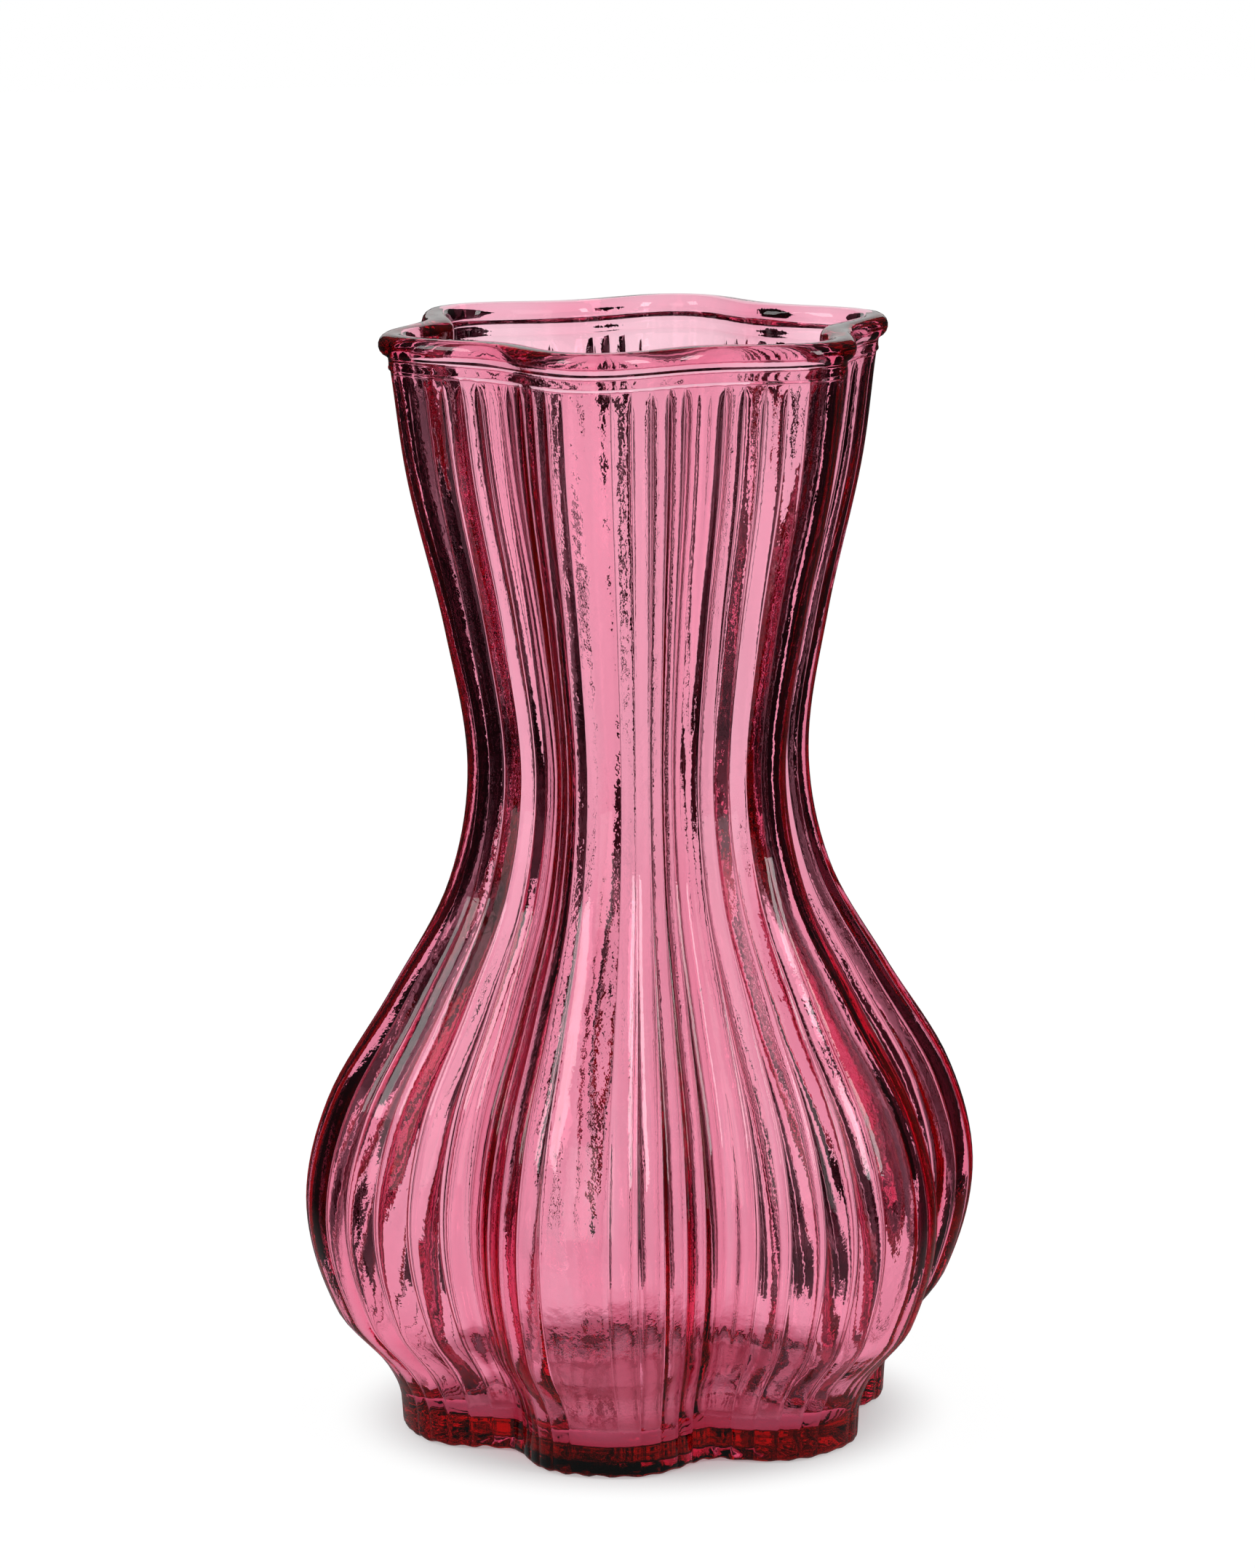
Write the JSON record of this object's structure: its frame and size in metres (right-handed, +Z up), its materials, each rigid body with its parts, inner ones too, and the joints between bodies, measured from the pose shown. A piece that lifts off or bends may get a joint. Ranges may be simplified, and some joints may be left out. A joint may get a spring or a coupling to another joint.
{
  "type": "glass vase",
  "caption": "Tall lobed glass vase with a round fluted bulb, a narrow waist, a flared neck and a rounded rim, for holding cut flowers in water.",
  "frame": {"origin": "middle of the flat face that the vase stands on", "axes": "+Z up along the vase's axis to the mouth, -Y towards the front, where a lobe faces"},
  "size_m": [0.1188, 0.1304, 0.2075],
  "materials": {
    "cranberry_glass": "clear, fire polished"
  },
  "bodies": {
    "root": {"base": "cranberry_glass", "heel": "cranberry_glass", "bulb": "cranberry_glass", "shoulder": "cranberry_glass", "waist": "cranberry_glass", "neck": "cranberry_glass", "collar": "cranberry_glass", "rim_bead": "cranberry_glass"}
  },
  "joints": []
}
